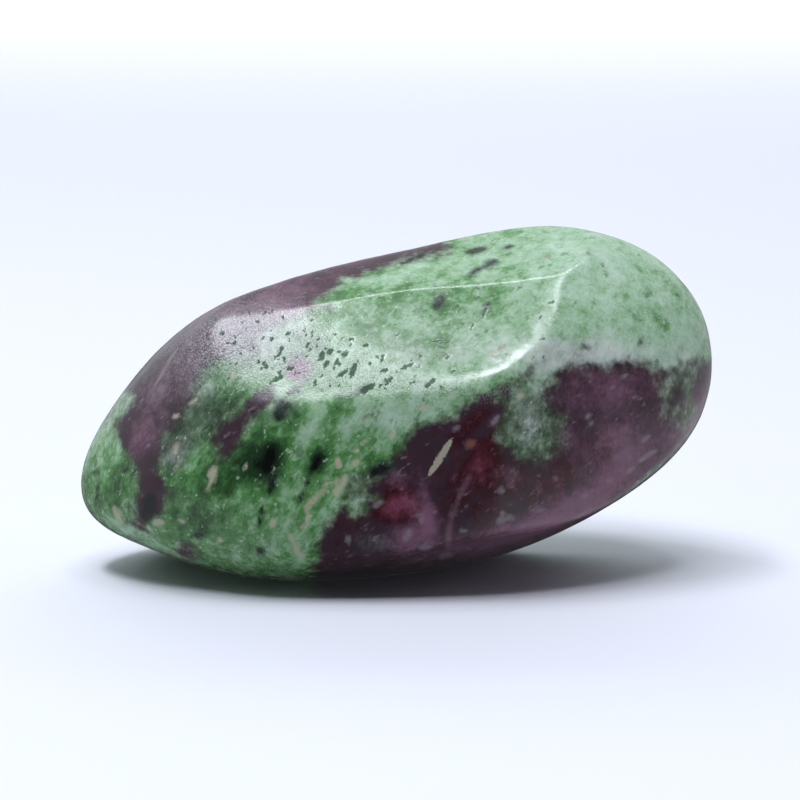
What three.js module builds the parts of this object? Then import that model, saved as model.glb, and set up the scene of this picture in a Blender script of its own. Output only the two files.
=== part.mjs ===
// A tumbled and polished pebble of ruby in zoisite, lying on its worn base.
// Millimetres, +Z up. The broad polished facets face the front, which looks along -Y, and +X is to the right.
// The stone grew as one piece of rock, so it is one solid. Its ruby, zoisite and black hornblende are only colour.
import * as THREE from 'three';
import { mergeVertices } from 'three/addons/utils/BufferGeometryUtils.js';

// Driving dimensions.

// The point inside the stone that every facet is measured from. Its height is the stone's own height above the table.
const CORE = new THREE.Vector3(0, -0.545, 7.7);

// The flats that tumbling ground on the stone. A facet's bearing is its direction in the front view, in degrees
// (0 right, 90 up), lean is how far it turns from there towards the front, reach is its distance from the core,
// and softness is how broadly the polish rounded its edges.
const FACETS = {
  upperFront:     { bearing:   95, lean:  44, reach:  6.33, softness: 0.04 },
  top:            { bearing: 96.3, lean:  22, reach:  6.64, softness: 0.04 },
  crest:          { bearing:104.6, lean: -10, reach:  7.34, softness: 0.4 },
  lowerBevel:     { bearing:   97, lean:49.5, reach:  6.51, softness: 0.1 },
  front:          { bearing:   90, lean:  84, reach:  7.2,  softness: 0.22 },
  frontUnder:     { bearing:  -95, lean:  44, reach:  9.9,  softness: 0.45 },
  frontKeel:      { bearing:  -80, lean:  28, reach:  8.1,  softness: 0.4 },
  rightFront:     { bearing:   12, lean:  66, reach:  8.6,  softness: 0.45 },
  rightFrontUnder:{ bearing:  -50, lean:  45, reach: 11.3,  softness: 0.5 },
  rightCheek:     { bearing:    0, lean:  38, reach: 12.6,  softness: 0.9 },
  rightDome:      { bearing:   68, lean:  45, reach:  8.45, softness: 0.8 },
  rightShoulder:  { bearing:   42, lean:  30, reach: 13.2,  softness: 0.8 },
  leftFront:      { bearing:  140, lean:  56, reach:  8.95, softness: 0.9 },
  leftCheek:      { bearing:  160, lean:  35, reach: 12,    softness: 0.8 },
  leftLowFront:   { bearing: -125, lean:  45, reach: 11,    softness: 0.5 },
  leftShoulder:   { bearing:  132, lean:   0, reach:  9.8,  softness: 0.7 },
  leftEnd:        { bearing:  151, lean:  -5, reach: 13.35, softness: 0.8 },
  leftTip:        { bearing: -170, lean:   5, reach: 16.8,  softness: 0.7 },
  leftLow:        { bearing: -138, lean:   9, reach: 14.75, softness: 0.7 },
  leftUnder:      { bearing: -107, lean:   9, reach:  9.85, softness: 0.5 },
  base:           { bearing:  -90, lean:   0, reach:  7.95, softness: 0.3 },
  rightUnder:     { bearing:  -70, lean:  12, reach:  8.2,  softness: 0.5 },
  rightLow:       { bearing:  -50, lean:   8, reach: 10.45, softness: 0.6 },
  rightHeel:      { bearing:  -25, lean:   0, reach: 14.1,  softness: 0.8 },
  rightEnd:       { bearing:    8, lean:  -5, reach: 16.1,  softness: 0.7 },
  rightUpper:     { bearing:   35, lean: -10, reach: 15.6,  softness: 0.8 },
  rightTop:       { bearing:   78, lean:  -8, reach: 10.55, softness: 0.8 },
  back:           { bearing:   70, lean: -78, reach:  8.6,  softness: 0.4 },
  backUpper:      { bearing:  108, lean: -44, reach:  7.6,  softness: 0.5 },
  backUnder:      { bearing:  -80, lean: -42, reach:  8.9,  softness: 0.6 },
  backLow:        { bearing: -120, lean: -68, reach:  9.2,  softness: 0.5 },
  backLeft:       { bearing:  170, lean: -40, reach: 11.6,  softness: 0.6 },
  backRight:      { bearing:   20, lean: -50, reach: 11.4,  softness: 0.6 },
};

// Long, low waves that keep the flats from being true planes.
const SWELLS = [
  { height: 0.05,  wavelength: 11, bearing:  20, lean:  30, phase: 0.4 },
  { height: 0.04,  wavelength:  8, bearing: 110, lean:  20, phase: 2.0 },
  { height: 0.035, wavelength:  6, bearing:  60, lean: -35, phase: 4.1 },
  { height: 0.03,  wavelength:  5, bearing: -30, lean:  60, phase: 1.2 },
];

// The mesh starts as a ball with this many splits along each edge of an icosahedron, stretched to the stone's
// rough half length, half depth and half height, so that its triangles stay even on the long stone.
const SPLITS = 17;
const BALL_STRETCH = new THREE.Vector3(15, 9, 8);

const TABLE = 0; // height of the surface that the stone lies on
const NEWTON_STEPS = 12;

// The unit vector with a bearing in the front view and a lean towards the front, both in degrees.
function towards({ bearing, lean }) {
  const turn = THREE.MathUtils.degToRad(bearing);
  const tip = THREE.MathUtils.degToRad(lean);
  return new THREE.Vector3(Math.cos(turn) * Math.cos(tip), -Math.sin(tip), Math.sin(turn) * Math.cos(tip));
}

const facets = Object.values(FACETS).map((facet) => ({ ...facet, normal: towards(facet) }));
const swells = SWELLS.map((swell) => ({
  ...swell,
  wave: towards(swell).multiplyScalar((2 * Math.PI) / swell.wavelength),
}));

// How far the skin is from the core in one direction. On the skin, exp((height above a facet) / softness), summed
// over the facets, is 1. The search starts where the ray leaves the plain polyhedron and closes in from outside.
function skinDistance(direction) {
  const slopes = facets.map((facet) => facet.normal.dot(direction));
  let distance = Infinity;
  facets.forEach((facet, i) => {
    if (slopes[i] > 0) distance = Math.min(distance, facet.reach / slopes[i]);
  });
  for (let step = 0; step < NEWTON_STEPS; step++) {
    let sum = 0;
    let rate = 0;
    facets.forEach((facet, i) => {
      const weight = Math.exp((distance * slopes[i] - facet.reach) / facet.softness);
      sum += weight;
      rate += (weight * slopes[i]) / facet.softness;
    });
    distance -= (Math.log(sum) * sum) / rate;
  }
  return distance;
}

// The height of the low waves at a point given from the core.
function swellHeight(point) {
  return swells.reduce((sum, { height, wave, phase }) => sum + height * Math.sin(wave.dot(point) + phase), 0);
}

// The whole stone: every point of the ball goes out to the skin, and what would be under the table is ground off flat.
function stoneGeometry() {
  const ball = new THREE.IcosahedronGeometry(1, SPLITS);
  ball.deleteAttribute('normal');
  ball.deleteAttribute('uv');
  const geometry = mergeVertices(ball);
  const position = geometry.getAttribute('position');
  const direction = new THREE.Vector3();
  const point = new THREE.Vector3();
  for (let i = 0; i < position.count; i++) {
    direction.fromBufferAttribute(position, i).multiply(BALL_STRETCH).normalize();
    point.copy(direction).multiplyScalar(skinDistance(direction));
    point.addScaledVector(direction, swellHeight(point)).add(CORE);
    position.setXYZ(i, point.x, point.y, Math.max(point.z, TABLE));
  }
  geometry.computeVertexNormals();
  return geometry;
}

// Polished zoisite, the green that covers most of the stone.
const polishedZoisite = new THREE.MeshStandardMaterial({ color: 0x6f9c78, roughness: 0.3, metalness: 0 });

const stone = new THREE.Mesh(stoneGeometry(), polishedZoisite);
stone.name = 'tumbled_stone';

const part = new THREE.Group();
part.add(stone);

export default part;
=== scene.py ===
import math

import bpy
import numpy as np
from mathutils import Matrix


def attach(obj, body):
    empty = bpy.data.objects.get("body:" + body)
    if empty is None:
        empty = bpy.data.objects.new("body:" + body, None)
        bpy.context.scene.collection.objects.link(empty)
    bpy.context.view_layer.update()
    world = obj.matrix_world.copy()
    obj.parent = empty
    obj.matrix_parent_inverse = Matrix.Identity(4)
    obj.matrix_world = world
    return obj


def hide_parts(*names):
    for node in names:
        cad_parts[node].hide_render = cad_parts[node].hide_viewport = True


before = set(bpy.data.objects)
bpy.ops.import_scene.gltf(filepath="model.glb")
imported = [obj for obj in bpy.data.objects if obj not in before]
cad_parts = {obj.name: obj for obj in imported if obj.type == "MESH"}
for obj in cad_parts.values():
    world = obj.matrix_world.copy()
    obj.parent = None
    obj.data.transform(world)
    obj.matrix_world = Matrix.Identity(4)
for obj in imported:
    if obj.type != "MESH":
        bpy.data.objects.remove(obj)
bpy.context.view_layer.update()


# The stone's shape.
# One tumbled pebble of ruby in zoisite. Grit ground broad flats on it and rounded the edges between them,
# and a last polish left it glossy. It lies loose on its own worn base. Sizes are in millimetres.
MM = 0.001
CORE = np.array([0, -0.545, 7.7])

# The flats that tumbling ground: bearing in the front view (0 right, 90 up) and lean towards the front,
# both in degrees, then the distance from the core and how broadly the polish rounded the flat's edges.
FACETS = {
    "upper front":       (95, 44, 6.33, 0.04),
    "top":               (96.3, 22, 6.64, 0.04),
    "crest":             (104.6, -10, 7.34, 0.4),
    "lower bevel":       (97, 49.5, 6.51, 0.1),
    "front":             (90, 84, 7.2, 0.22),
    "front under":       (-95, 44, 9.9, 0.45),
    "front keel":        (-80, 28, 8.1, 0.4),
    "right front":       (12, 66, 8.6, 0.45),
    "right front under": (-50, 45, 11.3, 0.5),
    "right cheek":       (0, 38, 12.6, 0.9),
    "right dome":        (68, 45, 8.45, 0.8),
    "right shoulder":    (42, 30, 13.2, 0.8),
    "left front":        (140, 56, 8.95, 0.9),
    "left cheek":        (160, 35, 12, 0.8),
    "left low front":    (-125, 45, 11, 0.5),
    "left shoulder":     (132, 0, 9.8, 0.7),
    "left end":          (151, -5, 13.35, 0.8),
    "left tip":          (-170, 5, 16.8, 0.7),
    "left low":          (-138, 9, 14.75, 0.7),
    "left under":        (-107, 9, 9.85, 0.5),
    "base":              (-90, 0, 7.95, 0.3),
    "right under":       (-70, 12, 8.2, 0.5),
    "right low":         (-50, 8, 10.45, 0.6),
    "right heel":        (-25, 0, 14.1, 0.8),
    "right end":         (8, -5, 16.1, 0.7),
    "right upper":       (35, -10, 15.6, 0.8),
    "right top":         (78, -8, 10.55, 0.8),
    "back":              (70, -78, 8.6, 0.4),
    "back upper":        (108, -44, 7.6, 0.5),
    "back under":        (-80, -42, 8.9, 0.6),
    "back low":          (-120, -68, 9.2, 0.5),
    "back left":         (170, -40, 11.6, 0.6),
    "back right":        (20, -50, 11.4, 0.6),
}

# Long, low waves that keep the flats from being true planes: height, wavelength, bearing, lean and phase.
SWELLS = [
    (0.05, 11, 20, 30, 0.4), (0.04, 8, 110, 20, 2.0), (0.035, 6, 60, -35, 4.1), (0.03, 5, -30, 60, 1.2),
]

# Faint ripples left where hard and soft grains wore unevenly: how many, their wavelengths and their height.
RIPPLE_COUNT = 48
RIPPLE_WAVELENGTHS = (0.7, 3.4)
RIPPLE_HEIGHT = 0.0009

# Cells of the box that is blown up into the stone, along X, Y and Z, and the stone's rough half sizes.
# Cells are smaller towards the front and the top, where the pits are.
CELLS = np.array([250, 62, 100])
HALF_SIZE = np.array([15.0, 9.0, 8.0])
CROWDING = np.array([0.0, 0.25, -0.25])
NEWTON_STEPS = 12

chance = np.random.default_rng(7)


def towards(bearing, lean):
    """Unit vectors with a bearing in the front view and a lean towards the front (-Y), both in degrees."""
    turn, tip = np.radians(bearing), np.radians(lean)
    return np.stack([np.cos(turn) * np.cos(tip), -np.sin(tip), np.sin(turn) * np.cos(tip)], axis=-1)


def box_lattice(cells):
    """Corner points of the cells on a box's six sides, as whole numbers, and the four points of each cell.

    Each side is a grid of two counts. Points that sides share are merged, and cells wind to face outwards.
    """
    sides = []
    for axis in range(3):
        a, b = (axis + 1) % 3, (axis + 2) % 3
        i, j = np.meshgrid(np.arange(cells[a]), np.arange(cells[b]), indexing="ij")
        for far in (0, 1):
            around = [(0, 0), (1, 0), (1, 1), (0, 1)]
            cell = np.zeros(i.shape + (4, 3), int)
            for corner, (di, dj) in enumerate(around if far else around[::-1]):
                cell[..., corner, axis] = far * cells[axis]
                cell[..., corner, a] = i + di
                cell[..., corner, b] = j + dj
            sides.append(cell.reshape(-1, 3))
    points, quads = np.unique(np.concatenate(sides), axis=0, return_inverse=True)
    return points, quads.reshape(-1, 4)


def skin_reach(directions):
    """Distance from the core to the skin along each direction.

    On the skin, exp((height above a facet) / rounding), summed over the facets, is 1. Newton's method
    starts where the ray leaves the plain polyhedron and closes in on that sum from outside.
    """
    bearing, lean, flat_reach, rounding = np.array(list(FACETS.values()), float).T
    slopes = directions @ towards(bearing, lean).T
    reach = np.min(np.where(slopes > 0, flat_reach / np.maximum(slopes, 1e-9), np.inf), axis=1)
    for _ in range(NEWTON_STEPS):
        weights = np.exp((reach[:, None] * slopes - flat_reach) / rounding)
        total = weights.sum(axis=1)
        rate = (weights * slopes / rounding).sum(axis=1)
        reach = reach - np.log(total) * total / rate
    return reach


def waves(points, height, wavelength, bearing, lean, phase):
    """Sum of plane sine waves at the points, each with its own height, wavelength, direction and phase."""
    ways = towards(bearing, lean) * (2 * np.pi / np.asarray(wavelength, float))[:, None]
    return np.sin(points @ ways.T + phase) @ np.asarray(height, float)


lattice, quads = box_lattice(CELLS)
spread = 2 * lattice / CELLS - 1
spread = spread + CROWDING * (spread ** 2 - 1)
outwards = spread / np.linalg.norm(spread, axis=1, keepdims=True) * HALF_SIZE
outwards = outwards / np.linalg.norm(outwards, axis=1, keepdims=True)
skin = outwards * skin_reach(outwards)[:, None]
swell = waves(skin, *np.array(SWELLS, float).T)
ripple = waves(
    skin,
    np.full(RIPPLE_COUNT, RIPPLE_HEIGHT),
    chance.uniform(*RIPPLE_WAVELENGTHS, RIPPLE_COUNT),
    chance.uniform(-180, 180, RIPPLE_COUNT),
    np.degrees(np.arcsin(chance.uniform(-1, 1, RIPPLE_COUNT))),
    chance.uniform(0, 2 * np.pi, RIPPLE_COUNT),
)
skin = skin + outwards * (swell + ripple)[:, None]


# The stone's minerals.
# Green zoisite grew around purple-red ruby, with black hornblende grains and cream feldspar veins, all cut
# through and polished flush. Marks are given as the front view shows them, in millimetres across and up from
# the core. Every point of the skin then gets its distance from each mineral, below 0 inside it. Some marks
# are painted light (sheen, glints, rim light and shade in pits), as noted where they are listed.
VIEW_ELEVATION = 10
VIEW_DISTANCE = 160

# How far behind the core the front view's marks reach, how steeply they fade there, and how far the bodies
# of ruby slant sideways behind the place where the slant sets in.
MARK_DEPTH = 2.5
FADE_STEEPNESS = 2
BODY_SLANT = 0.8
SLANT_LEAD = 1.5

# Bodies of ruby: how far behind the core each one reaches, and its outline.
RUBY_BODIES = {
    "lower right": (4.5, [
        (6.7, 2.2), (5.7, 1.4), (4.0, 0.7), (2.8, 0.2), (2.1, -0.4), (1.1, -0.7), (0.4, -1.4), (-0.1, -2.2),
        (-0.3, -2.8), (-1.3, -3.1), (-2.3, -3.2), (-2.6, -3.9), (-3.0, -4.9), (-3.3, -5.6), (-3.8, -6.2),
        (-4.0, -7.2), (-4.1, -8.6), (1.1, -9.1), (6.9, -7.6), (8.8, -6.0), (10.4, -4.6), (12.0, -3.3),
        (13.3, -2.2), (14.5, -1.1), (15.6, 0.5), (15.8, 2.3), (14.4, 2.5), (13.7, 2.4), (13.2, 1.9),
        (12.3, 2.1), (11.2, 2.4), (9.9, 2.1), (8.9, 2.4), (8.1, 2.2), (7.5, 1.8),
    ]),
    "left": (3.5, [
        (-8.4, 5.2), (-10.2, 4.7), (-12.0, 3.3), (-12.9, 2.1), (-13.2, 1.4), (-12.7, 0.8), (-12.9, 0.2),
        (-13.5, -0.6), (-13.5, -1.4), (-13.0, -2.1), (-12.3, -2.9), (-12.5, -3.8), (-12.8, -5.4),
        (-12.5, -6.1), (-11.8, -5.9), (-11.8, -5.2), (-11.0, -4.8), (-10.8, -3.8), (-11.6, -3.0),
        (-11.2, -2.0), (-11.0, -1.2), (-10.5, -0.5), (-9.9, 0.4), (-9.5, 1.3), (-8.9, 2.3), (-8.0, 2.5),
        (-6.8, 2.9), (-6.5, 3.8), (-4.7, 4.4), (-3.2, 5.0), (-4.7, 5.4),
    ]),
    "diagonal": (0, [
        (-6.0, 1.1), (-6.9, 0.8), (-7.7, 0.1), (-8.5, -0.9), (-8.8, -1.8), (-8.7, -2.5), (-8.1, -2.5),
        (-7.5, -1.8), (-7.0, -0.9), (-6.5, -0.3), (-5.9, 0.3),
    ]),
    "top band": (7, [
        (-10.6, 3.0), (-8.8, 3.8), (-7.2, 4.3), (-5.1, 4.9), (-3.5, 5.3), (-2.5, 6.1), (-0.6, 6.9),
        (1.1, 7.3), (2.4, 7.7), (2.4, 8.3), (-0.8, 8.2), (-4.7, 7.1), (-8.2, 5.8), (-10.6, 4.2),
    ]),
}
WINDOW_STEEPNESS = 0.4
ZOISITE_WINDOWS = {
    "grey window": [
        (6.8, 2.3), (5.7, 1.2), (5.2, 0.5), (5.0, -0.7), (5.2, -1.5), (6.1, -2.1), (7.2, -1.9), (7.7, -1.2),
        (7.3, -0.4), (6.9, 0.5), (7.3, 1.4), (7.6, 2.2),
    ],
    "right gap": [(13.3, 2.2), (13.6, 2.2), (13.6, 0.6), (13.4, -0.2), (13.1, 0.6)],
    "pocket": [(-1.9, -3.7), (-1.3, -3.6), (-1.1, -4.2), (-1.5, -4.6), (-2.0, -4.4)],
}

# Small marks: across, up, half length, half width and turn in degrees.
RUBY_SPOTS = [
    (-4.7, 1.9, 0.75, 0.55, 40), (-10.2, -6.8, 0.5, 0.3, -35),
]
HORNBLENDE_SPOTS = [
    (-6.15, -2.4, 0.72, 0.36, 72), (-6.6, -2.6, 0.25, 0.2, 0), (-3.9, -2.6, 0.46, 0.25, 62),
    (13.45, 0.8, 0.2, 0.1, 70),
]
DARK_SPOTS = [
    (-5.55, 0.0, 0.6, 0.38, 62), (2.0, 5.2, 0.5, 0.24, 60), (4.45, 7.0, 0.42, 0.2, 25),
    (3.75, 6.65, 0.4, 0.15, 30), (3.8, 7.65, 0.6, 0.14, 12), (5.3, 7.8, 0.3, 0.1, 12),
    (-6.55, -6.8, 0.26, 0.22, 0), (-6.55, -5.1, 0.55, 0.1, 80), (-14.4, -4.0, 0.6, 0.07, 80),
    (-13.0, -2.9, 0.22, 0.12, 30), (-9.5, -6.0, 0.35, 0.15, 15), (-6.0, -3.6, 0.5, 0.14, 70),
    (9.05, 3.05, 0.18, 0.1, -30), (11.7, 3.3, 0.22, 0.09, 60), (0.8, 7.25, 0.7, 0.09, 22),
    (-4.3, -3.5, 0.25, 0.14, 40), (-4.6, -4.2, 0.3, 0.12, 60), (-5.0, 0.9, 0.3, 0.14, 40),
    (13.3, 0.2, 0.3, 0.15, 80), (-14.5, -3.0, 0.2, 0.1, 0), (4.3, 4.9, 0.35, 0.14, 70),
    (-1.6, 1.0, 0.4, 0.16, 30), (-0.8, -2.9, 0.5, 0.2, 20), (-11.9, -4.7, 0.75, 0.35, 80),
]
VEIN_ROUNDING = 0.06
CREAM_VEINS = {
    "left fleck": (0.14, [(-9.05, -3.75), (-8.9, -3.3), (-8.7, -2.8)]),
    "fork": (0.17, [(-2.5, -3.3), (-2.7, -3.7), (-2.9, -4.0)]),
    "fork stem": (0.14, [
        (-2.9, -3.4), (-3.3, -3.5), (-3.9, -4.2), (-4.35, -4.7), (-4.2, -5.2), (-4.4, -5.6),
    ]),
    "far left": (0.11, [(-10.5, -1.6), (-10.7, -2.1)]),
    "low": (0.12, [(-5.1, -6.1), (-4.85, -6.6), (-4.6, -7.05)]),
}
CREAM_SPOTS = [
    (2.1, -2.25, 1.15, 0.16, 58), (1.2, 0.1, 0.3, 0.13, 0), (5.9, 0.7, 0.2, 0.14, 0),
    (-2.8, -2.55, 0.25, 0.13, 100), (-2.0, -2.55, 0.2, 0.13, 30), (-1.5, -1.5, 0.3, 0.08, 40),
    (-0.2, -1.2, 0.22, 0.09, 50), (-2.0, -1.9, 0.16, 0.08, 20), (-10.35, -5.35, 0.22, 0.09, -10),
    (-6.95, -5.7, 0.2, 0.07, 110), (-5.95, -5.4, 0.2, 0.13, 60), (-8.5, -6.2, 0.12, 0.11, 0),
    (-7.3, -1.1, 0.18, 0.06, 70), (-7.3, -2.8, 0.2, 0.06, 65), (-6.7, -3.8, 0.12, 0.08, -20),
    (-10.6, -0.3, 0.15, 0.09, 30), (-9.8, 0.4, 0.25, 0.08, 35), (-13.4, -5.0, 0.45, 0.17, 110),
    (-11.45, -5.4, 0.3, 0.16, 0), (4.55, 2.7, 0.22, 0.1, 20), (-7.9, 1.6, 0.2, 0.1, 60),
]
# The first, long thin grey mark is a painted highlight along the crease at the upper left, and the small grey
# marks along the lower right edge, where it turns under, are painted glints; the rest are grey feldspar
# flecks.
GREY_SPOTS_AND_GLINTS = [
    (-11.1, 2.05, 1.35, 0.06, 58), (2.8, -0.9, 0.2, 0.1, 45), (4.9, -1.4, 0.18, 0.1, 70),
    (5.0, -5.3, 0.25, 0.15, 15), (5.45, -5.15, 0.22, 0.12, 20), (5.1, -5.0, 0.1, 0.08, 0),
    (3.2, -5.8, 0.22, 0.1, 0), (5.0, -3.85, 0.16, 0.13, 0), (-2.3, -6.2, 0.2, 0.1, 80),
    (9.15, -0.3, 0.15, 0.1, 60), (9.3, -0.65, 0.14, 0.08, 40), (11.9, -1.4, 0.3, 0.1, 40),
    (12.0, -2.2, 0.5, 0.12, 32), (10.3, 1.1, 0.15, 0.06, 40), (10.85, 1.6, 0.25, 0.05, 25),
    (11.5, 0.6, 0.35, 0.05, -8), (13.0, 1.2, 0.12, 0.09, 0), (6.7, -4.8, 0.35, 0.08, 8),
    (1.4, -6.6, 0.3, 0.12, 10), (2.35, -7.0, 0.35, 0.17, 10), (4.7, -0.5, 0.3, 0.1, 50),
    (1.2, -5.2, 0.2, 0.1, 80), (0.5, -6.0, 0.35, 0.2, 60), (-0.9, -4.5, 0.25, 0.12, 30),
    (10.2, -3.4, 0.12, 0.1, 0), (9.0, -4.1, 0.14, 0.08, 30), (11.2, -2.9, 0.3, 0.08, 38),
    (7.6, -3.3, 0.1, 0.1, 0),
]
TAN_SPOTS = [
    (3.55, -1.65, 0.3, 0.2, 20), (5.05, 3.05, 0.3, 0.1, 32), (-1.55, -0.35, 0.28, 0.07, 25),
    (7.2, 7.35, 0.2, 0.15, 0),
]
PINK_VEIN = (0.13, [(3.5, -3.2), (3.0, -4.1), (2.7, -4.9), (2.45, -6.0), (2.5, -6.7)])

# Soft tints: across, up, half length, half width, turn in degrees, and strength.
RED_TINTS = [
    (-0.5, -4.8, 0.8, 0.6, 30, 0.7), (0.6, -4.7, 0.8, 0.8, 0, 0.75), (0.1, -3.9, 0.7, 0.6, 0, 0.35),
    (-7.6, -0.8, 2.4, 1.2, 55, -0.6), (-11.8, -4.6, 1.0, 1.6, 0, -0.6), (-11.0, 1.0, 3.0, 1.6, 55, -0.3),
    (4.5, -2.9, 1.5, 1.9, 0, 0.5), (3.9, -0.3, 1.9, 0.4, 40, 0.4), (7.1, -3.4, 1.6, 0.8, 10, 0.4),
    (8.5, -4.8, 3.0, 0.8, 28, 0.35), (9.8, -2.0, 1.6, 0.9, 25, 0.35), (8.6, 0.9, 1.4, 0.9, 10, 0.2),
]
PALE_TINTS = [
    (1.4, -4.9, 0.5, 1.1, 10, 1.0), (0.7, -6.1, 1.2, 0.7, 20, 1.0), (-0.1, -3.3, 0.6, 0.4, 20, 0.6),
    (-1.0, -6.2, 1.0, 0.6, 10, 0.45), (-12.3, -1.6, 1.3, 0.7, 60, 0.6), (-9.8, 2.0, 1.6, 2.4, -40, 0.5),
    (-11.6, 1.0, 1.2, 1.6, -40, 0.4), (-6.0, 4.4, 3.0, 1.0, 15, 0.9), (-4.7, 1.9, 0.9, 0.7, 40, 1.3),
    # On this line and the next, the tint at 7.0 across, -5.4 up and the tints at 10.6, -3.2 and 14.2, -0.2
    # are partly the ruby's lilac and partly painted sheen: a lilac-white band along the lower right edge
    # where the face turns under, and along the right end's rim.
    (-4.5, 6.4, 5.0, 0.8, 20, 0.35), (4.7, -0.5, 0.5, 0.3, 50, 0.7), (7.0, -5.4, 3.0, 0.9, 22, 1.0),
    (10.6, -3.2, 2.6, 0.8, 38, 1.0), (14.2, -0.2, 0.8, 1.8, -30, 0.8), (10.4, -1.2, 0.6, 0.4, 20, 0.5),
    (10.0, 1.0, 3.4, 1.4, 0, 0.65), (9.6, -2.0, 3.0, 1.4, 20, 0.4), (5.5, -3.3, 0.4, 1.0, 10, 0.35),
    (8.0, -1.2, 0.7, 0.5, 0, 0.5), (3.5, -6.8, 3.0, 0.6, 8, 0.7),
]
GREEN_TINTS = [
    # On the next line, the second tint is a painted reflection along the left end's rim, and the third is
    # painted light bounced from the paper onto the lower left.
    (-14.4, -3.6, 1.1, 2.6, 0, -0.1), (-14.4, -0.9, 0.6, 1.8, -30, 0.5), (-12.6, -6.0, 1.6, 0.6, -35, 0.5),
    (-11.0, -1.2, 1.6, 1.4, 40, -0.35), (-9.0, -0.2, 1.8, 2.4, -20, -0.75),
    (-13.2, -3.6, 1.2, 1.6, 0, -0.35), (10.5, 5.4, 4.4, 2.6, -20, 0.65), (9.6, 7.4, 3.0, 1.4, 0, 0.35),
    (13.8, 3.6, 1.2, 1.6, -30, 0.4), (9.6, 2.5, 4.2, 1.2, 0, 0.6), (-1.3, -0.7, 2.4, 0.9, 10, 0.36),
    (2.5, 3.4, 5.0, 2.2, 5, 0.22), (4.8, 3.4, 1.8, 1.8, 0, 0.2), (3.5, 7.3, 7.0, 1.2, 10, 0.4),
    (6.3, -0.4, 1.1, 1.6, 0, -0.3), (-4.5, 2.6, 3.0, 1.6, 0, -0.15), (-6.8, -2.6, 1.2, 1.2, 60, -1.3),
    (-3.7, -2.2, 0.9, 0.7, 60, -0.5), (-9.2, -4.2, 1.8, 1.3, 20, -0.65), (-7.6, -4.2, 0.9, 0.6, 0, 0.35),
    (-9.0, -5.5, 2.0, 0.7, -10, -0.25), (-0.7, -2.8, 1.2, 0.5, 20, -0.9), (-5.5, -2.0, 0.4, 2.4, -18, -0.5),
    (-4.5, -1.2, 0.4, 1.8, -32, 0.5), (-6.8, -7.4, 2.6, 0.6, -5, 0.05), (0.4, 0.0, 3.0, 0.7, 8, 0.22),
    (-9.3, 0.6, 1.0, 1.2, 40, 0.2), (-8.5, 1.2, 1.2, 0.5, 30, 0.4), (2.0, 5.0, 0.7, 0.6, 55, -0.4),
    (11.4, 4.9, 0.9, 0.6, 0, -0.3), (8.8, 8.1, 1.2, 0.25, 0, -0.5), (-13.4, -4.4, 0.35, 0.15, 80, -0.6),
    (-1.5, 1.0, 0.5, 0.35, 20, -0.4), (-2.1, 2.0, 0.5, 0.3, 60, -0.4), (-3.2, -5.4, 0.5, 0.9, 20, 0.2),
]
GREY_TINTS = [
    (6.3, -0.6, 1.5, 2.0, 0, 0.8), (13.4, 0.8, 0.5, 1.4, 0, 0.5), (9.4, 2.6, 3.6, 0.9, -2, 0.8),
    (-10.8, -2.2, 0.9, 0.8, 60, 0.7), (-9.2, -0.2, 1.6, 2.0, -20, 0.6), (-5.6, 0.0, 0.9, 0.8, 60, 0.5),
    (-6.0, -3.4, 0.5, 0.7, 70, 0.5), (-0.7, -2.9, 1.0, 0.5, 20, 0.6), (-1.6, -4.1, 0.6, 0.6, 0, 0.5),
    (-1.1, -6.4, 1.1, 0.7, 0, 0.8), (-12.4, 2.6, 1.3, 3.2, -40, 1.0), (-10.8, 1.0, 1.2, 2.6, -40, 0.35),
    (-14.2, -0.6, 0.5, 1.4, -35, 0.3), (-12.4, -3.0, 0.5, 0.6, 0, 0.4), (-6.0, 2.6, 1.8, 1.0, 0, 0.4),
    (-7.0, 3.8, 2.5, 1.2, 10, 0.7), (1.5, 2.9, 4.0, 1.6, 0, 0.35),
]

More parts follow.
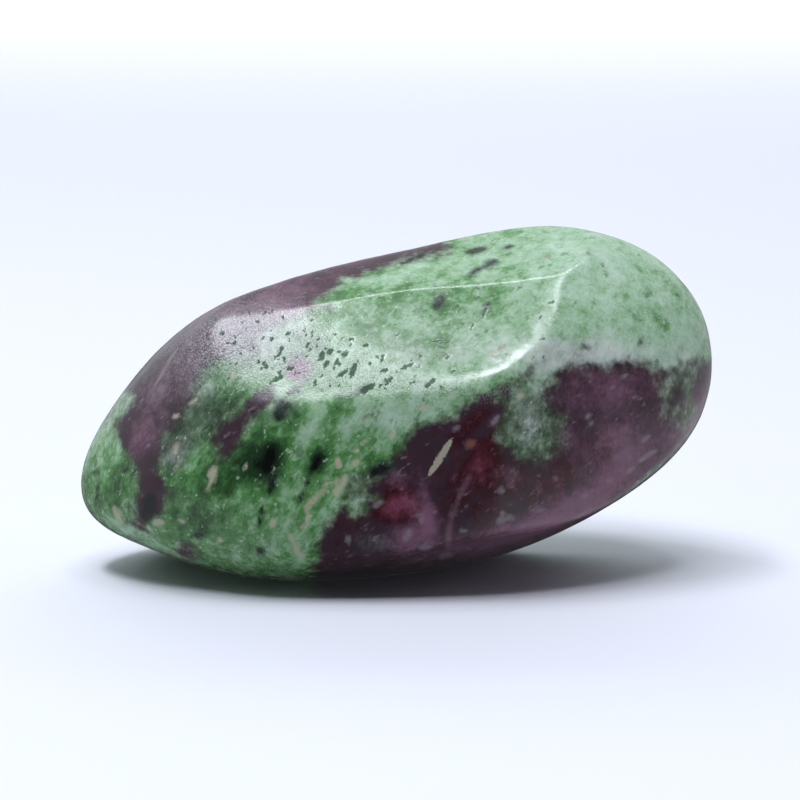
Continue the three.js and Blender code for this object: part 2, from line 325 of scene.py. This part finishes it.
# The worn part of the upper front flat, where the polish left open pits and where a pale colour, partly
# painted sheen, is laid on, and the largest pits there.
WORN_AND_SHEEN_PATCHES = [
    (-6.0, 3.2, 3.0, 1.8, -10, 1.0), (-8.8, 2.8, 2.0, 1.6, 40, 0.7), (-2.4, 2.2, 3.0, 1.5, -5, 0.7),
    (1.0, 1.1, 4.0, 0.5, -3, 1.0), (7.0, 3.9, 0.5, 1.6, -10, 0.7),
]
LARGE_PITS = [
    (-5.6, 2.8, 0.34, 0.11, 65), (-5.4, 2.4, 0.2, 0.1, 110), (-3.6, 2.6, 0.26, 0.16, 75),
    (-3.2, 2.8, 0.22, 0.12, 40), (-2.5, 2.7, 0.22, 0.16, 40), (-1.5, 3.1, 0.17, 0.12, 20),
    (-2.2, 3.4, 0.2, 0.1, 30), (-3.4, 2.2, 0.26, 0.12, 60), (-2.9, 2.3, 0.2, 0.1, 60),
    (-2.1, 1.9, 0.42, 0.15, 70), (-0.7, 2.5, 0.26, 0.1, 65), (-0.6, 1.9, 0.22, 0.1, 20),
    (0.5, 2.1, 0.4, 0.1, 22), (1.0, 2.05, 0.2, 0.08, 15), (-1.4, 1.05, 0.45, 0.17, 32),
    (-2.6, 1.75, 0.32, 0.12, 32), (1.6, 1.3, 0.4, 0.12, 40), (1.9, 3.3, 0.3, 0.06, 8),
    (-6.3, 2.1, 0.16, 0.12, 60), (-5.1, 2.0, 0.2, 0.14, 20), (-5.7, 1.5, 0.3, 0.14, 20),
    (-6.4, 3.5, 0.2, 0.06, 60), (4.2, 4.7, 0.4, 0.1, 70), (3.6, 4.0, 0.25, 0.08, 60),
    (7.4, 5.2, 0.22, 0.1, 0), (6.9, 4.5, 0.2, 0.07, 60), (6.95, 3.4, 0.16, 0.07, 20),
    (6.5, 2.5, 0.2, 0.06, 40), (0.0, 3.6, 0.16, 0.08, 30), (-0.4, 1.4, 0.3, 0.1, 50),
    (2.4, 2.5, 0.3, 0.07, 35),
]
SMALL_PIT_COUNT = 150
SMALL_PIT_LENGTHS = (0.05, 0.15)
SMALL_PIT_WIDTH_SHARES = (0.3, 0.8)
SMALL_PIT_TURNS = (0, 110)
SMALL_PITS_ACROSS = (-9.5, 8.0)
SMALL_PITS_UP = (0.0, 4.8)

# How deep the pits are, how far in from its edge a pit reaches that depth, the heights between which pits are
# looked for, and the distance given to skin that has none near it.
PIT_DEPTH = 0.025
PIT_SLOPE = 0.12
PITS_BETWEEN = (-1, 7)
NO_PIT = 1.0

# The sides that the front view doesn't show. Ruby bodies there have a bearing, a lean and a half width, and
# all bodies are drawn out along the rock's grain. Grains and flecks are scattered.
GRAIN_ANGLE = 58
GRAIN_STRETCH = 1.7
HIDDEN_RUBY = [
    (75, -45, 1.9), (98, -56, 1.6), (55, -64, 1.1), (-35, -62, 2.4), (-5, -60, 1.7), (-75, -72, 1.5),
    (15, -38, 1.5), (-110, -35, 1.8), (-135, -48, 1.5), (-160, -30, 1.3), (150, -60, 1.5), (168, -42, 1.1),
    (-75, -5, 1.6),
]
HIDDEN_GRAIN_COUNT = 34
HIDDEN_GRAIN_SIZES = (0.12, 0.4)
HIDDEN_FLECK_COUNT = 60
HIDDEN_FLECK_SIZES = (0.05, 0.14)
HIDDEN_TINT_COUNT = 16
HIDDEN_TINT_WAVELENGTHS = (1.8, 8)

# How far the hidden tint moves the edge of the ruby, in millimetres, and each tint.
HIDDEN_RUBY_SWAY = 4.2
HIDDEN_RED = 1.2
HIDDEN_PALE = 1.6
HIDDEN_GREEN = 1.6


def front_view(points):
    """Where the front view shows points given from the core: across, up, and depth behind the core.

    Across and up are scaled by (view distance) / (distance from the eye), as a perspective view does.
    """
    tilt = math.radians(VIEW_ELEVATION)
    depth = points[:, 1] * math.cos(tilt) - points[:, 2] * math.sin(tilt)
    height = points[:, 1] * math.sin(tilt) + points[:, 2] * math.cos(tilt)
    nearness = VIEW_DISTANCE / (VIEW_DISTANCE + depth)
    return points[:, 0] * nearness, height * nearness, depth


def side_distance(across, up, start, end):
    """Distance from each place to the straight line between two places."""
    along = np.subtract(end, start)
    share = ((across - start[0]) * along[0] + (up - start[1]) * along[1]) / (along @ along)
    share = np.clip(share, 0, 1)
    return np.hypot(across - start[0] - share * along[0], up - start[1] - share * along[1])


def line_distance(across, up, vein):
    """Distance from a vein's edge, negative inside.

    It is the distance from the nearest side, with a rounded bottom at the middle line, less the half width.
    """
    half_width, line = vein
    nearest = np.min([side_distance(across, up, *side) for side in zip(line, line[1:])], axis=0)
    return np.hypot(nearest, VEIN_ROUNDING) - half_width


def outline_distance(across, up, outline):
    """Distance from a closed outline, negative inside.

    It is the distance from the nearest side, and a place is inside if a ray to its right crosses the
    outline an odd number of times.
    """
    nearest = np.full(across.shape, np.inf)
    inside = np.zeros(across.shape, bool)
    for start, end in zip(outline, outline[1:] + outline[:1]):
        nearest = np.minimum(nearest, side_distance(across, up, start, end))
        if start[1] != end[1]:
            crossing = start[0] + (up - start[1]) / (end[1] - start[1]) * (end[0] - start[0])
            inside ^= ((start[1] > up) != (end[1] > up)) & (across < crossing)
    return np.where(inside, -nearest, nearest)


def spot_size(across, up, spot):
    """How far out in an ellipse each place is: 0 at its middle and 1 on its edge."""
    turn = math.radians(spot[4])
    right, rise = across - spot[0], up - spot[1]
    along = right * math.cos(turn) + rise * math.sin(turn)
    aside = rise * math.cos(turn) - right * math.sin(turn)
    return np.hypot(along / spot[2], aside / spot[3])


def spots_distance(across, up, spots):
    """Distance from the nearest of some ellipses along the line to its middle, negative inside.

    On that line the ellipse's edge is at (distance from the middle) / size.
    """
    nearest = np.full(across.shape, np.inf)
    for spot in spots:
        from_middle = np.hypot(across - spot[0], up - spot[1])
        edge = from_middle / np.maximum(spot_size(across, up, spot), 1e-6)
        nearest = np.minimum(nearest, from_middle - edge)
    return nearest


def tint(across, up, tints):
    """Sum of soft round tints, each exp(-(size)^2) times its strength."""
    return np.sum([spot[5] * np.exp(-spot_size(across, up, spot) ** 2) for spot in tints], axis=0)


def body_distance(points, bodies):
    """Distance from the nearest body set in the skin, negative inside.

    A body is a ball around the point of the skin with its bearing and lean, drawn out along the grain:
    lengths along the grain count for less by the grain's stretch.
    """
    grain_way = towards(GRAIN_ANGLE, 0)
    nearest = np.full(len(points), np.inf)
    for bearing, lean, half_width in bodies:
        way = towards(bearing, lean)
        offset = points - way * skin_reach(way[None])
        along = offset @ grain_way
        aside = np.sum(offset ** 2, axis=1) - along ** 2
        from_middle = np.sqrt(np.maximum(aside, 0) + (along / GRAIN_STRETCH) ** 2)
        nearest = np.minimum(nearest, from_middle - half_width)
    return nearest


def scattered(count, sizes):
    """Seeded bodies all round the stone, each with a bearing, a lean and a half width."""
    return np.stack([
        chance.uniform(-180, 180, count),
        np.degrees(np.arcsin(chance.uniform(-1, 1, count))),
        chance.uniform(*sizes, count),
    ], axis=1)


across, up, depth = front_view(skin)
behind = depth - MARK_DEPTH
shown = 1 / (1 + np.exp(FADE_STEEPNESS * behind))
slanted = across + BODY_SLANT * np.maximum(behind + SLANT_LEAD, 0)

ruby = np.maximum(spots_distance(across, up, RUBY_SPOTS), behind)
for body_depth, outline in RUBY_BODIES.values():
    body = np.maximum(outline_distance(slanted, up, outline), depth - body_depth)
    ruby = np.minimum(ruby, body)
for outline in ZOISITE_WINDOWS.values():
    ruby = np.maximum(ruby, -WINDOW_STEEPNESS * outline_distance(across, up, outline))

hidden_grains = body_distance(skin, scattered(HIDDEN_GRAIN_COUNT, HIDDEN_GRAIN_SIZES))
hornblende = np.maximum(spots_distance(across, up, HORNBLENDE_SPOTS), behind)
hornblende = np.minimum(hornblende, np.maximum(hidden_grains, -behind))

hidden_flecks = body_distance(skin, scattered(HIDDEN_FLECK_COUNT, HIDDEN_FLECK_SIZES))
cream = np.min([line_distance(across, up, vein) for vein in CREAM_VEINS.values()], axis=0)
cream = np.maximum(np.minimum(cream, spots_distance(across, up, CREAM_SPOTS)), behind)
cream = np.minimum(cream, np.maximum(hidden_flecks, -behind))
dark = np.maximum(spots_distance(across, up, DARK_SPOTS), behind)
grey_spot_and_glint = np.maximum(spots_distance(across, up, GREY_SPOTS_AND_GLINTS), behind)
tan = np.maximum(spots_distance(across, up, TAN_SPOTS), behind)
pink = np.maximum(line_distance(across, up, PINK_VEIN), behind)

hidden_tint = waves(
    skin,
    np.full(HIDDEN_TINT_COUNT, 1 / HIDDEN_TINT_COUNT),
    chance.uniform(*HIDDEN_TINT_WAVELENGTHS, HIDDEN_TINT_COUNT),
    chance.uniform(-180, 180, HIDDEN_TINT_COUNT),
    np.degrees(np.arcsin(chance.uniform(-1, 1, HIDDEN_TINT_COUNT))),
    chance.uniform(0, 2 * np.pi, HIDDEN_TINT_COUNT),
) * (1 - shown)

ruby = np.minimum(ruby, np.maximum(body_distance(skin, HIDDEN_RUBY), -behind))
ruby = ruby + HIDDEN_RUBY_SWAY * hidden_tint

worn = np.clip(tint(across, up, WORN_AND_SHEEN_PATCHES), 0, 1) * shown
small_pits = []
while len(small_pits) < SMALL_PIT_COUNT:
    spot = np.array([chance.uniform(*SMALL_PITS_ACROSS), chance.uniform(*SMALL_PITS_UP)])
    if chance.uniform() < tint(spot[:1], spot[1:], WORN_AND_SHEEN_PATCHES)[0]:
        length = chance.uniform(*SMALL_PIT_LENGTHS)
        width = length * chance.uniform(*SMALL_PIT_WIDTH_SHARES)
        small_pits.append((*spot, length, width, chance.uniform(*SMALL_PIT_TURNS)))
pit = np.full(len(skin), NO_PIT)
near = (depth < 0) & (up > PITS_BETWEEN[0]) & (up < PITS_BETWEEN[1])
pit[near] = np.minimum(pit[near], spots_distance(across[near], up[near], LARGE_PITS + small_pits))
skin = skin - outwards * (PIT_DEPTH * np.clip(-pit / PIT_SLOPE, 0, 1))[:, None]

place = skin + CORE
place[:, 2] = np.maximum(place[:, 2], 0)

stone_mesh = bpy.data.meshes.new("polished_stone")
stone_mesh.vertices.add(len(place))
stone_mesh.vertices.foreach_set("co", (place * MM).astype(np.float32).ravel())
stone_mesh.loops.add(quads.size)
stone_mesh.loops.foreach_set("vertex_index", quads.astype(np.int32).ravel())
stone_mesh.polygons.add(len(quads))
stone_mesh.polygons.foreach_set("loop_start", np.arange(0, quads.size, 4, dtype=np.int32))
stone_mesh.polygons.foreach_set("use_smooth", np.ones(len(quads), bool))
stone_mesh.update(calc_edges=True)
skin_values = {
    "ruby": ruby,
    "hornblende": hornblende,
    "cream": cream,
    "dark": dark,
    "grey_spot_and_glint": grey_spot_and_glint,
    "tan": tan,
    "pink": pink,
    "pit": pit,
    "worn": worn,
    "red": tint(across, up, RED_TINTS) * shown + HIDDEN_RED * hidden_tint,
    "pale": tint(across, up, PALE_TINTS) * shown + HIDDEN_PALE * np.abs(hidden_tint),
    "green": tint(across, up, GREEN_TINTS) * shown + HIDDEN_GREEN * hidden_tint,
    "grey": tint(across, up, GREY_TINTS) * shown,
}
for name, values in skin_values.items():
    layer = stone_mesh.attributes.new(name, "FLOAT", "POINT")
    layer.data.foreach_set("value", values.astype(np.float32))


# Polished ruby in zoisite.
# Zoisite is a fibrous green, ruby a plum to wine purple with pink hearts, and hornblende nearly black. The
# minerals differ in hardness, so the polish leaves a waxy gloss with a fine grain, duller on the worn flat.
STONE_IOR = 1.7
CRYSTAL_SIZE = 0.38
CRYSTAL_BEND = 0.5
GRIT_RELIEF = 0.002
TONE_RELIEF = 0.02

# The ways that the rock's texture lies: an angle in the front view, and how far lumps are drawn out along it.
FABRICS = {
    "even": (0, 1),
    "grain": (GRAIN_ANGLE, GRAIN_STRETCH),
    "slant": (35, 2.5),
}

# Fractal noises: the fabric, the distance between the largest lumps in millimetres, the detail and roughness.
NOISES = {
    "edge": ("even", 1.6, 3, 0.5),
    "tone": ("grain", 1.3, 4, 0.5),
    "mottle": ("even", 0.5, 3, 0.5),
    "fine": ("grain", 0.15, 3, 0.65),
    "pale": ("grain", 0.24, 2, 0.6),
    "dark": ("grain", 0.62, 3, 0.6),
    "fleck": ("slant", 0.3, 2, 0.6),
    "grit": ("even", 0.085, 2, 0.55),
}

HORNBLENDE_BLACK = "0d100e"
CREAM_FELDSPAR = "b9b49c"
TAN_STAIN = "8a5f50"
GREY_FELDSPAR_AND_GLINT = "8d8488"
# Grey feldspar, also used for the painted highlight and glints among the grey marks.
DARK_ZOISITE = "101a17"
PINK_FELDSPAR = "80606a"
# Painted shade in the pits.
PIT_SHADE_GREEN = "35583d"
# Pale grains of the worn flat, partly a painted sheen.
WORN_GRIT_AND_SHEEN = "cfd2d4"
PALE_FLECK = "b9c9b2"
DEEP_GREEN = "22421f"
RUBY_COLOURS = [(0.0, "3c2a33"), (0.35, "3a161c"), (0.6, "54252f"), (1.0, "7b4256")]
# Pale lilac of the ruby, partly painted sheen along the lower right edge and the right end's rim.
RUBY_LILAC_AND_SHEEN = "80596e"
RUBY_FLECK = "8f7b86"
ZOISITE_COLOURS = [
    (0.0, "1f3a20"), (0.2, "376034"), (0.42, "578b4f"), (0.6, "88ae86"), (0.8, "a3c4a6"), (1.0, "b9d1bc"),
]


def linear(colour):
    """An sRGB hex colour as linear red, green, blue and full alpha."""
    parts = [int(colour[i:i + 2], 16) / 255 for i in (0, 2, 4)]
    return [c / 12.92 if c <= 0.04045 else ((c + 0.055) / 1.055) ** 2.4 for c in parts] + [1.0]


def add_node(tree, kind, inputs=(), ramp=(), **settings):
    """Adds a node with its settings, colour stops and inputs; a socket or a node's first output is linked."""
    node = tree.nodes.new(kind)
    for name, value in settings.items():
        setattr(node, name, value)
    for name, value in dict(inputs).items():
        if isinstance(value, bpy.types.Node):
            tree.links.new(value.outputs[0], node.inputs[name])
        elif isinstance(value, bpy.types.NodeSocket):
            tree.links.new(value, node.inputs[name])
        else:
            node.inputs[name].default_value = value
    for i, (position, colour) in enumerate(ramp):
        stop = node.color_ramp.elements[i] if i < 2 else node.color_ramp.elements.new(position)
        stop.position = position
        stop.color = linear(colour)
    return node


stone_material = bpy.data.materials.new("polished_ruby_in_zoisite")
stone_material.use_nodes = True
rock = stone_material.node_tree
rock.nodes.clear()
object_place = rock.nodes.new("ShaderNodeTexCoord").outputs["Object"]
fabrics = {
    name: add_node(
        rock,
        "ShaderNodeMapping",
        {"Vector": object_place, "Rotation": (0, -math.radians(angle), 0), "Scale": (stretch * MM, MM, MM)},
        vector_type="TEXTURE",
    )
    for name, (angle, stretch) in FABRICS.items()
}
noises = {
    name: add_node(
        rock,
        "ShaderNodeTexNoise",
        {"Vector": fabrics[fabric], "Scale": 1 / size, "Detail": detail, "Roughness": roughness},
    )
    for name, (fabric, size, detail, roughness) in NOISES.items()
}
marks = {
    name: add_node(rock, "ShaderNodeAttribute", attribute_name=name).outputs["Fac"] for name in skin_values
}


def frayed(value, **frays):
    """A value moved either way by named noises, each by up to half its amount."""
    for name, amount in frays.items():
        move = {0: noises[name], 1: amount, 2: -amount / 2}
        move = add_node(rock, "ShaderNodeMath", move, operation="MULTIPLY_ADD")
        value = add_node(rock, "ShaderNodeMath", {0: value, 1: move}, operation="ADD")
    return value


def laid_on(under, colour, value, start, end, strength=1.0, where=1.0):
    """A colour laid on another: none where the value is at start, rising smoothly to strength at end.

    The share is then multiplied by where.
    """
    rise = {"Value": value, "From Min": start, "From Max": end, "To Max": strength}
    share = add_node(rock, "ShaderNodeMapRange", rise, interpolation_type="SMOOTHSTEP")
    share = add_node(rock, "ShaderNodeMath", {0: share, 1: where}, operation="MULTIPLY")
    return add_node(rock, "ShaderNodeMix", {0: share, 6: under, 7: colour}, data_type="RGBA").outputs[2]


# Zoisite crystals bend with the mottling, each has a tone of its own, and their cleavage shows as pale lines.
bent = add_node(
    rock,
    "ShaderNodeVectorMath",
    {0: noises["mottle"].outputs["Color"], 1: [CRYSTAL_BEND] * 3, 2: fabrics["grain"]},
    operation="MULTIPLY_ADD",
)
crystal_cells = {"Vector": bent, "Scale": 1 / CRYSTAL_SIZE}
noises["crystals"] = add_node(rock, "ShaderNodeTexVoronoi", crystal_cells).outputs["Color"]
cleavage = add_node(rock, "ShaderNodeTexVoronoi", crystal_cells, feature="DISTANCE_TO_EDGE")

# Zoisite is darker in a halo around each hornblende grain.
halo = add_node(
    rock,
    "ShaderNodeMapRange",
    {"Value": marks["hornblende"], "From Min": 0.6, "From Max": 0.0, "To Max": -0.6},
    interpolation_type="SMOOTHSTEP",
)
green_tone = frayed(marks["green"], tone=1.9, mottle=1.2, crystals=0.5, fine=1.1)
green_tone = add_node(rock, "ShaderNodeMath", {0: green_tone, 1: halo}, operation="ADD")
green_share = add_node(rock, "ShaderNodeMath", {0: green_tone, 1: 0.4, 2: 0.47}, operation="MULTIPLY_ADD")
light_green = add_node(
    rock,
    "ShaderNodeMapRange",
    {"Value": green_share, "From Min": 0.35, "From Max": 0.7},
    interpolation_type="SMOOTHSTEP",
)
zoisite = add_node(rock, "ShaderNodeValToRGB", {"Fac": green_share}, ramp=ZOISITE_COLOURS)
zoisite = laid_on(zoisite, linear(DEEP_GREEN), noises["dark"], 0.4, 0.3, 0.5)
zoisite = laid_on(zoisite, linear(PALE_FLECK), noises["pale"], 0.63, 0.71, 0.6)
zoisite = laid_on(zoisite, linear(PALE_FLECK), cleavage, 0.08, 0.0, 0.25, light_green)

red_tone = frayed(marks["red"], tone=1.2, mottle=0.9, fine=0.5)
pale_tone = frayed(marks["pale"], edge=1.2, mottle=1.0, fine=0.8)
ruby_colour = add_node(rock, "ShaderNodeValToRGB", {"Fac": red_tone}, ramp=RUBY_COLOURS)
ruby_colour = laid_on(ruby_colour, linear(RUBY_LILAC_AND_SHEEN), pale_tone, 0.0, 1.3)
ruby_colour = laid_on(ruby_colour, linear(RUBY_FLECK), noises["fleck"], 0.62, 0.74, 0.4)

ruby_edge = frayed(marks["ruby"], edge=1.5, mottle=0.65, fine=0.25)
base = laid_on(zoisite, ruby_colour, ruby_edge, 0.35, -0.35)
saturation = add_node(
    rock,
    "ShaderNodeMapRange",
    {"Value": frayed(marks["grey"], edge=0.8, mottle=0.6), "To Min": 1.0, "To Max": 0.25},
    interpolation_type="SMOOTHSTEP",
)
base = add_node(rock, "ShaderNodeHueSaturation", {"Color": base, "Saturation": saturation})
# A pale grit colour on the worn flat: partly its real pale grains and partly a painted sheen.
base = laid_on(base, linear(WORN_GRIT_AND_SHEEN), noises["grit"], 0.42, 0.64, 0.5, marks["worn"])

# Each mark has its colour, its strength, half the width of its soft edge in millimetres, and its fray.
for name, colour, strength, softness, fray in (
    ("dark", DARK_ZOISITE, 0.9, 0.2, 0.3),
    # The grey marks are partly painted highlight and glints.
    ("grey_spot_and_glint", GREY_FELDSPAR_AND_GLINT, 0.6, 0.12, 0.45),
    ("pink", PINK_FELDSPAR, 0.6, 0.12, 0.4),
    ("cream", CREAM_FELDSPAR, 0.75, 0.1, 0.55),
    ("tan", TAN_STAIN, 0.6, 0.12, 0.4),
    ("hornblende", HORNBLENDE_BLACK, 1.0, 0.24, 0.25),
):
    mark_edge = frayed(marks[name], mottle=fray, fine=fray / 2)
    base = laid_on(base, linear(colour), mark_edge, softness, -softness, strength)
# The pits get a dark green, which is painted shade in the pits.
pit_edge = frayed(marks["pit"], fine=0.35, grit=0.12)
base = laid_on(base, linear(PIT_SHADE_GREEN), pit_edge, 0.01, -0.06, 0.85)

# The worn flat and the pits are rougher than the polish, and the grit's relief is strongest on the worn flat.
worn_roughness = {0: marks["worn"], 1: 0.24, 2: 0.17}
roughness = add_node(rock, "ShaderNodeMath", worn_roughness, operation="MULTIPLY_ADD")
pit_roughness = add_node(
    rock,
    "ShaderNodeMapRange",
    {"Value": pit_edge, "From Min": 0.01, "From Max": -0.06, "To Max": 0.51},
    interpolation_type="SMOOTHSTEP",
)
roughness = frayed(roughness, fine=0.08)
roughness = add_node(rock, "ShaderNodeMath", {0: roughness, 1: pit_roughness}, operation="ADD")
grit_gain = add_node(rock, "ShaderNodeMath", {0: marks["worn"], 1: 8.0, 2: 1.0}, operation="MULTIPLY_ADD")
grit_height = add_node(rock, "ShaderNodeMath", {0: noises["grit"], 1: grit_gain}, operation="MULTIPLY")
relief = add_node(
    rock, "ShaderNodeBump", {"Height": grit_height, "Strength": 1.0, "Distance": GRIT_RELIEF * MM}
)
relief = add_node(
    rock,
    "ShaderNodeBump",
    {"Height": noises["tone"], "Strength": 1.0, "Distance": TONE_RELIEF * MM, "Normal": relief},
)
polish = add_node(
    rock,
    "ShaderNodeBsdfPrincipled",
    {"Base Color": base, "Roughness": roughness, "IOR": STONE_IOR, "Normal": relief},
)
add_node(rock, "ShaderNodeOutputMaterial", {"Surface": polish})
stone_mesh.materials.append(stone_material)

stone = bpy.data.objects.new("polished_stone", stone_mesh)
bpy.context.scene.collection.objects.link(stone)
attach(stone, "root")
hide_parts("tumbled_stone")


# The table.
# A plain sheet of pale matt paper just under the stone's base, far wider than the picture. Its mirror image
# in the stone is left to the light below, which is dark where the stone's own shadow lies.
PAPER_WHITE = "d6d8e0"
PAPER_SIDE = 3000
PAPER_DROP = 0.02

paper_mesh = bpy.data.meshes.new("paper")
paper_mesh.from_pydata(
    [
        (x * MM, y * MM, -PAPER_DROP * MM)
        for x, y in (
            (-PAPER_SIDE, -PAPER_SIDE),
            (PAPER_SIDE, -PAPER_SIDE),
            (PAPER_SIDE, PAPER_SIDE),
            (-PAPER_SIDE, PAPER_SIDE),
        )
    ],
    [],
    [(0, 1, 2, 3)],
)
paper_material = bpy.data.materials.new("matt_paper")
paper_material.use_nodes = True
paper_finish = paper_material.node_tree.nodes["Principled BSDF"]
paper_finish.inputs["Base Color"].default_value = linear(PAPER_WHITE)
paper_finish.inputs["Roughness"].default_value = 0.7
paper_finish.inputs["Specular IOR Level"].default_value = 0.2
paper_mesh.materials.append(paper_material)
paper = bpy.data.objects.new("paper", paper_mesh)
bpy.context.scene.collection.objects.link(paper)
paper.visible_glossy = False


# The camera.
# It looks down on the stone's front flats by 10 degrees, through a long lens, and the core sits a little
# below the middle of the picture.
PICTURE_SIZE = 800
PIXELS_PER_MM = 20.85
CORE_PIXEL = (397, 410)
SENSOR = 36

camera_data = bpy.data.cameras.new("camera")
camera_data.sensor_width = SENSOR
camera_data.lens = VIEW_DISTANCE * PIXELS_PER_MM / PICTURE_SIZE * SENSOR
camera_data.shift_x = (PICTURE_SIZE / 2 - CORE_PIXEL[0]) / PICTURE_SIZE
camera_data.shift_y = (CORE_PIXEL[1] - PICTURE_SIZE / 2) / PICTURE_SIZE
camera_data.clip_start = 0.001
camera = bpy.data.objects.new("camera", camera_data)
tilt = math.radians(VIEW_ELEVATION)
camera.location = (CORE + VIEW_DISTANCE * np.array([0, -math.cos(tilt), math.sin(tilt)])) * MM
camera.rotation_euler = (math.pi / 2 - tilt, 0, 0)
bpy.context.scene.collection.objects.link(camera)
bpy.context.scene.camera = camera


# The light.
# A white tent, open and dark in front, with a frame of four lamp strips overhead that the edges of the
# upper front flat mirror. A broad panel, which the stone doesn't mirror, lights the paper behind. The light
# below the horizon stands for the paper's mirror image in the stone.

# Each lamp has its middle, its width and length, its height above the table, and its radiance.
LAMPS = {
    "back strip": (-35, 80, 220, 30, 350, 9.6),
    "front strip": (-45, -150, 150, 60, 350, 17),
    "left strip": (-105, -30, 54, 170, 350, 26.5),
    "right strip": (62, -40, 34, 140, 350, 8.5),
    "back panel": (60, 640, 1000, 440, 380, 3.9),
}
TENT_WHITE = "f4f7ff"
LAMP_WHITE = "f2f6ff"
TENT_STRENGTHS = [(0.0, "1c1c1c"), (0.3, "5c5c5c"), (0.45, "a0a0a0"), (1.0, "cccccc")]
HORIZON = (-0.12, 0.06)
FLOOR_STRENGTHS = [(0.24, "9c9c9c"), (0.4, "2c2c2c"), (0.58, "2c2c2c"), (0.7, "b4b4b4")]

for name, (lamp_x, lamp_y, width, length, height, radiance) in LAMPS.items():
    lamp_data = bpy.data.lights.new(name, "AREA")
    lamp_data.shape = "RECTANGLE"
    lamp_data.size = width * MM
    lamp_data.size_y = length * MM
    lamp_data.energy = radiance * math.pi * lamp_data.size * lamp_data.size_y
    lamp_data.color = linear(LAMP_WHITE)[:3]
    lamp = bpy.data.objects.new(name, lamp_data)
    lamp.location = (lamp_x * MM, lamp_y * MM, height * MM)
    lamp.visible_glossy = name != "back panel"
    bpy.context.scene.collection.objects.link(lamp)

tent = bpy.data.worlds.new("tent")
tent.use_nodes = True
bpy.context.scene.world = tent
sky = tent.node_tree
sky.nodes.clear()
direction = sky.nodes.new("ShaderNodeTexCoord").outputs["Generated"]
axes = add_node(sky, "ShaderNodeSeparateXYZ", {"Vector": direction})
rightwards, backwards, upwards = (
    add_node(sky, "ShaderNodeMapRange", {"Value": axes.outputs[axis], "From Min": low, "From Max": high})
    for axis, low, high in (("X", -1.0, 1.0), ("Y", -1.0, 1.0), ("Z", *HORIZON))
)
tent_strength = add_node(sky, "ShaderNodeValToRGB", {"Fac": backwards}, ramp=TENT_STRENGTHS)
floor_strength = add_node(sky, "ShaderNodeValToRGB", {"Fac": rightwards}, ramp=FLOOR_STRENGTHS)
strength = add_node(sky, "ShaderNodeMix", {0: upwards, 2: floor_strength, 3: tent_strength})
seen_by_camera = add_node(sky, "ShaderNodeLightPath")
glow = add_node(sky, "ShaderNodeMix", {0: seen_by_camera, 2: strength, 3: 1.0})
backdrop = add_node(sky, "ShaderNodeBackground", {"Color": linear(TENT_WHITE), "Strength": glow})
add_node(sky, "ShaderNodeOutputWorld", {"Surface": backdrop})

bpy.context.scene.view_settings.view_transform = "Standard"
